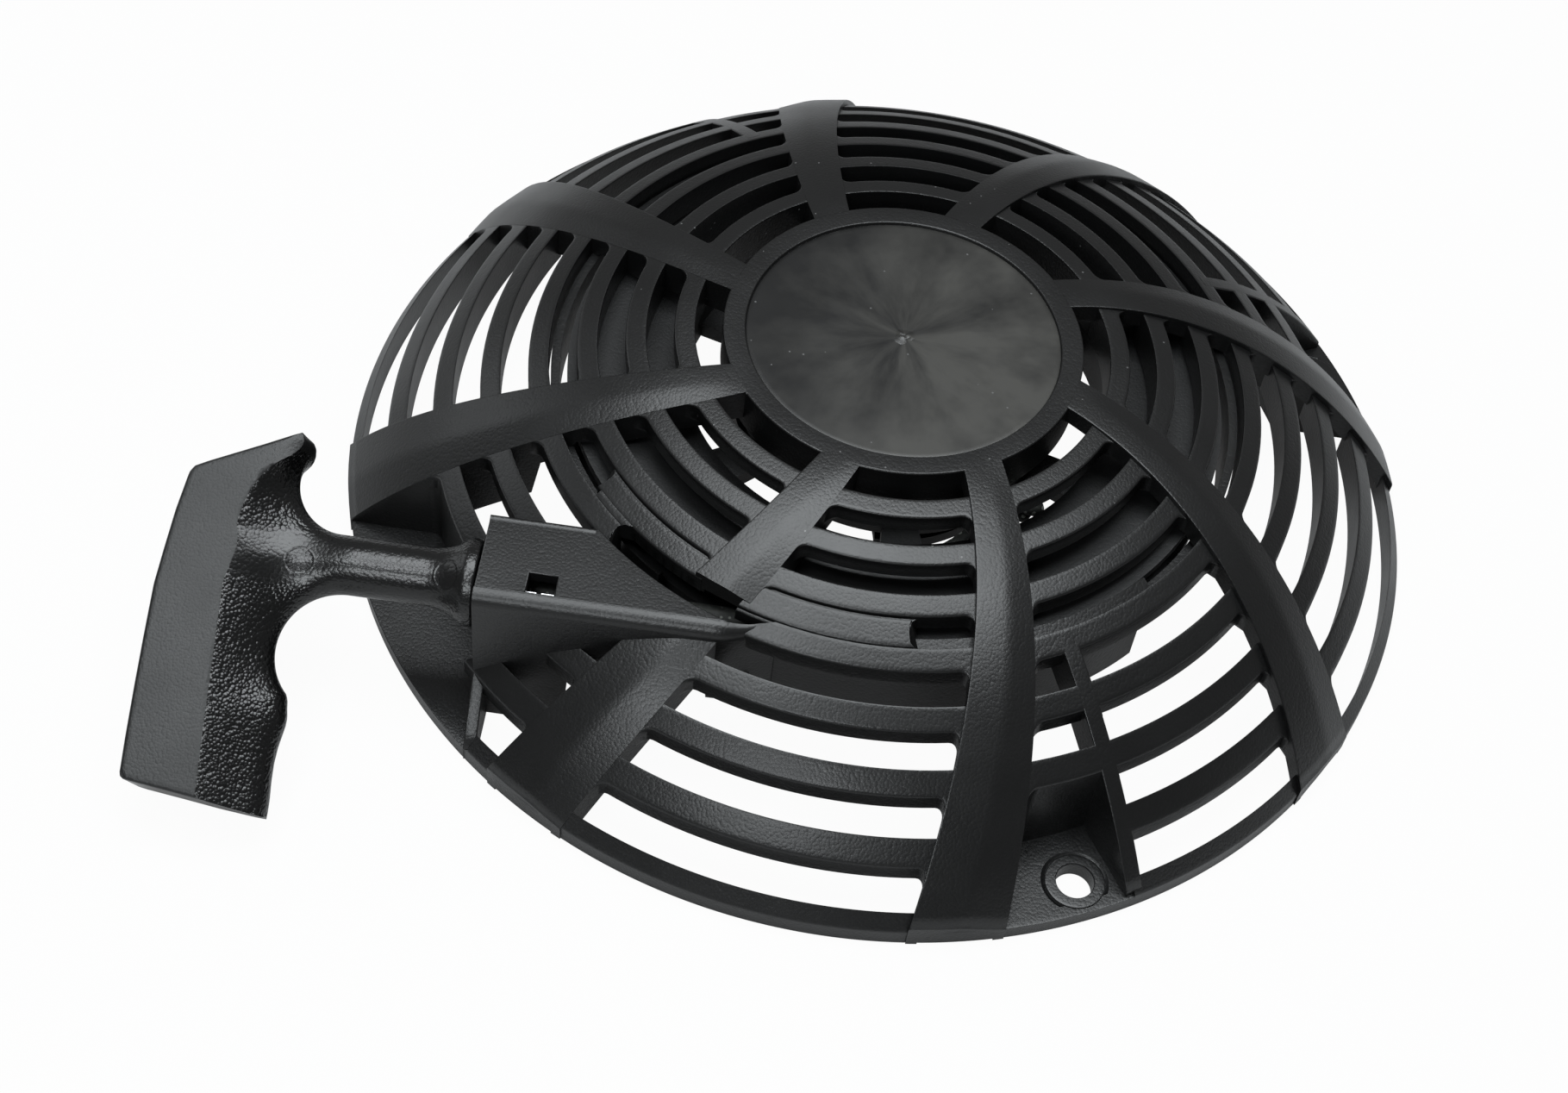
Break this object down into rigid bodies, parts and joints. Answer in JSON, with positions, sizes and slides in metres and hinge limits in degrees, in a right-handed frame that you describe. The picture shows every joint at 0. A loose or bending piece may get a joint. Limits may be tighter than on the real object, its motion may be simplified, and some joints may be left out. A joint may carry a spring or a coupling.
{
  "type": "recoil starter",
  "caption": "Engine recoil starter: slotted plastic dome with swept spokes and a rope snout, T pull grip, rope pulley, rewind spring, pawls and friction plate.",
  "frame": {"origin": "on the starter's axis in the plane of the rim's underside, which is the centre of the mounting holes' circle", "axes": "+Z along the starter's axis from the rim to the hub; the rope and grip leave towards -X; -Y is the side the picture is taken from"},
  "size_m": [0.2513, 0.2302, 0.0487],
  "materials": {
    "housing_plastic": "satin black moulding with a fine grain",
    "grip_plastic": "satin black, leather grain on the finger side and a smooth flat face",
    "pulley_plastic": "dark grey moulding",
    "bright_steel": "bare steel",
    "spring_steel": "oiled blue-grey strip steel",
    "zinc_steel": "yellow zinc plating",
    "insert_brass": "turned brass",
    "rope": "braided nylon"
  },
  "bodies": {
    "housing": {"housing": "housing_plastic", "rope_guide": "bright_steel", "post_insert": "insert_brass", "thrust_washer": "bright_steel", "plate_screw": "zinc_steel", "friction_spring": "bright_steel", "rewind_spring": "spring_steel"},
    "pulley": {"pulley": "pulley_plastic", "spring_keeper": "bright_steel", "rope_winding": "rope", "pulley_knot": "rope"},
    "pawl_a": {"pawl_a": "zinc_steel"},
    "pawl_b": {"pawl_b": "zinc_steel"},
    "friction_plate": {"friction_plate": "pulley_plastic"},
    "rope_end": {"rope_run": "rope", "grip_knot": "rope"},
    "grip": {"grip": "grip_plastic", "grip_insert": "bright_steel"}
  },
  "joints": [
    {"name": "handle_pull", "type": "slide", "parent": "housing", "child": "rope_end", "axis": [-1, 0, 0], "range_m": [0, 1], "stiffness_N_per_m": 25, "springref_m": -0.8, "deforming": ["rope_run"]},
    {"name": "grip_turn", "type": "hinge", "parent": "rope_end", "child": "grip", "pos_m": [-0.1, -0.065, 0.0295], "axis": [1, 0, 0], "range_deg": [-180, 0]},
    {"name": "pulley_spin", "type": "hinge", "parent": "housing", "child": "pulley", "pos_m": [0, 0, 0.0295], "axis": [0, 0, 1], "range_deg": [-1000, 0], "deforming": ["rewind_spring"]},
    {"name": "plate_lag", "type": "hinge", "parent": "pulley", "child": "friction_plate", "pos_m": [0, 0, 0.0125], "axis": [0, 0, 1], "range_deg": [0, 36]},
    {"name": "pawl_a_swing", "type": "hinge", "parent": "pulley", "child": "pawl_a", "pos_m": [0.02, 0, 0.0175], "axis": [0, 0, 1], "range_deg": [0, 45]},
    {"name": "pawl_b_swing", "type": "hinge", "parent": "pulley", "child": "pawl_b", "pos_m": [-0.02, 0, 0.0175], "axis": [0, 0, 1], "range_deg": [0, 45]}
  ],
  "couplings": [
    {"joint": "pulley_spin", "follows": "handle_pull", "rad_per_m": -17.42},
    {"joint": "pawl_a_swing", "follows": "plate_lag", "ratio": 1.25},
    {"joint": "pawl_b_swing", "follows": "plate_lag", "ratio": 1.25}
  ]
}
